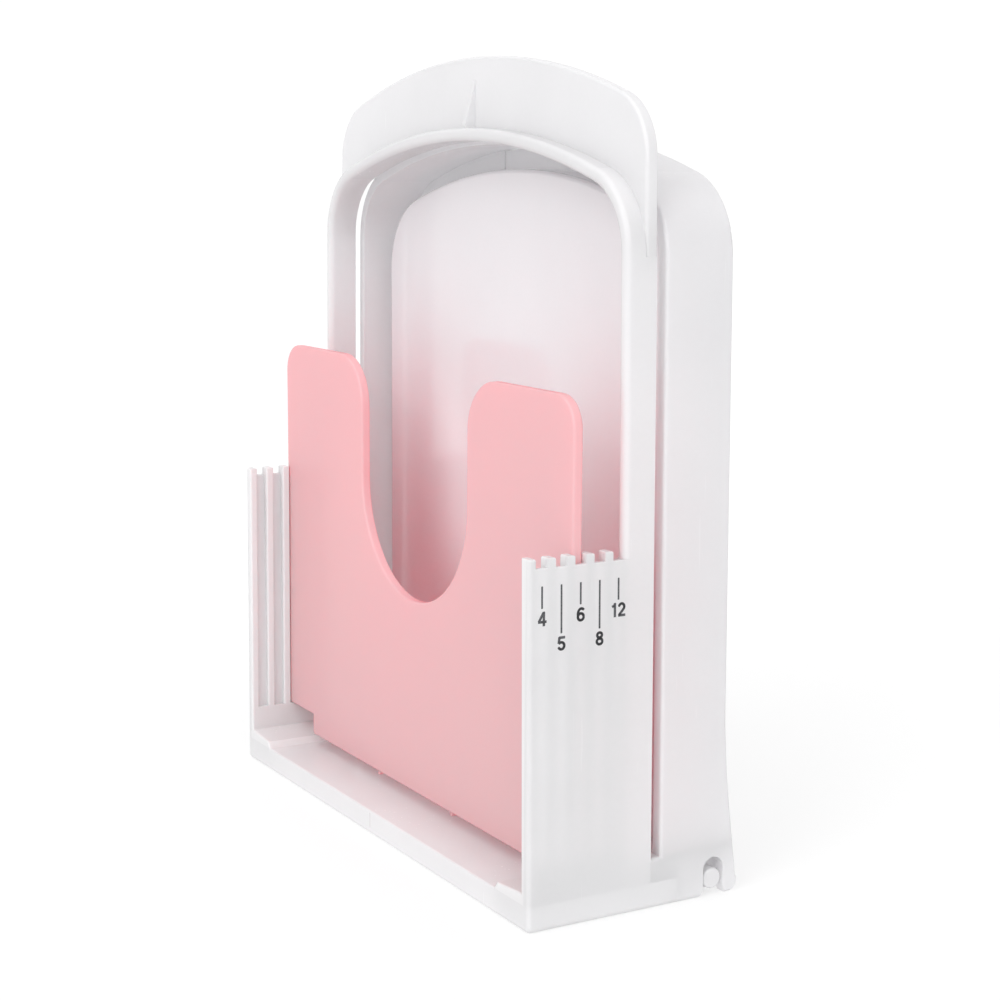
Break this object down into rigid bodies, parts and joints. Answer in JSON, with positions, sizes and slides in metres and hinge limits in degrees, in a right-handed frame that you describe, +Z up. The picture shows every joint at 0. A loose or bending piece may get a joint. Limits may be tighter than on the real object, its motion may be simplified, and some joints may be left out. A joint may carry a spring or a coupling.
{
  "type": "bread slicer guide",
  "caption": "Free-standing loaf slicing guide: two arches with a knife slot between them, grooved side walls, a lift-out U-cut thickness plate and a rear bread tray that hinges down flat.",
  "frame": {"origin": "centre of the footprint, on the table", "axes": "+X across the object to the right seen from the front (-Y), +Y back to the bread tray, +Z up"},
  "size_m": [0.158, 0.0576, 0.1965],
  "materials": {
    "white_abs": "glossy moulded",
    "pink_abs": "glossy moulded",
    "print": "printed ink"
  },
  "bodies": {
    "guide": {"base_floor": "white_abs", "side_ledge_right": "white_abs", "side_ledge_left": "white_abs", "loaf_sill": "white_abs", "hinge_cheek_right": "white_abs", "hinge_cheek_left": "white_abs", "comb_panel_right": "white_abs", "comb_panel_left": "white_abs", "comb_ribs_right": "white_abs", "comb_ribs_left": "white_abs", "front_arch": "white_abs", "knife_guide_flange": "white_abs", "rear_arch": "white_abs", "rear_arch_lip": "white_abs"},
    "plate": {"thickness_plate": "pink_abs"},
    "tray": {"tray_panel": "white_abs", "tray_rim": "white_abs", "tray_peg_right": "white_abs", "tray_peg_left": "white_abs"}
  },
  "joints": [
    {"name": "plate_lift", "type": "slide", "parent": "guide", "child": "plate", "axis": [0, 0, 1], "range_m": [0, 0.08]},
    {"name": "tray_hinge", "type": "hinge", "parent": "guide", "child": "tray", "pos_m": [0, 0.022, 0.0041], "axis": [-1, 0, 0], "range_deg": [0, 90]}
  ]
}
